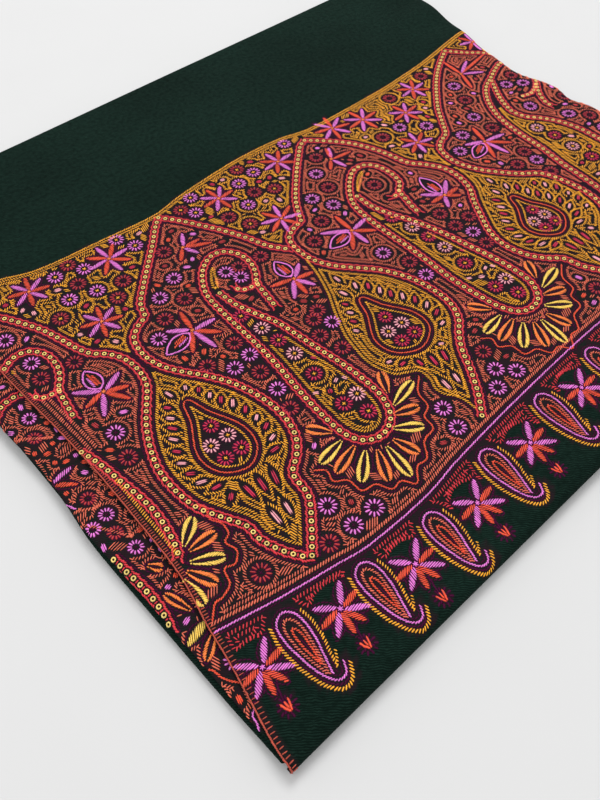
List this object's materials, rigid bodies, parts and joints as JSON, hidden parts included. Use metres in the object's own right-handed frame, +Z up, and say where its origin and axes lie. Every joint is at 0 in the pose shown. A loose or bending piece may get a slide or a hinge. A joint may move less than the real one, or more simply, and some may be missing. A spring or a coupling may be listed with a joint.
{
  "type": "embroidered pashmina shawl",
  "caption": "Dark green wool shawl with a needle-worked paisley end border, folded flat to a packet, with soft folds in front, right and back and its selvages on the left.",
  "frame": {"origin": "under the middle of the packet's bounding box, on the surface it lies on", "axes": "+X along the front fold from the selvage side to the right fold, +Y from the front fold to the back fold, +Z up"},
  "size_m": [0.5392, 0.4618, 0.0137],
  "materials": {
    "worked_wool": "matte twill covered in wool and silk stitches",
    "green_wool": "matte fine twill with a soft nap",
    "thread": "softly glossy embroidery thread"
  },
  "bodies": {
    "root": {"top_leaf": "worked_wool", "second_leaf": "worked_wool", "third_leaf": "green_wool", "folded_core": "green_wool"}
  },
  "joints": []
}
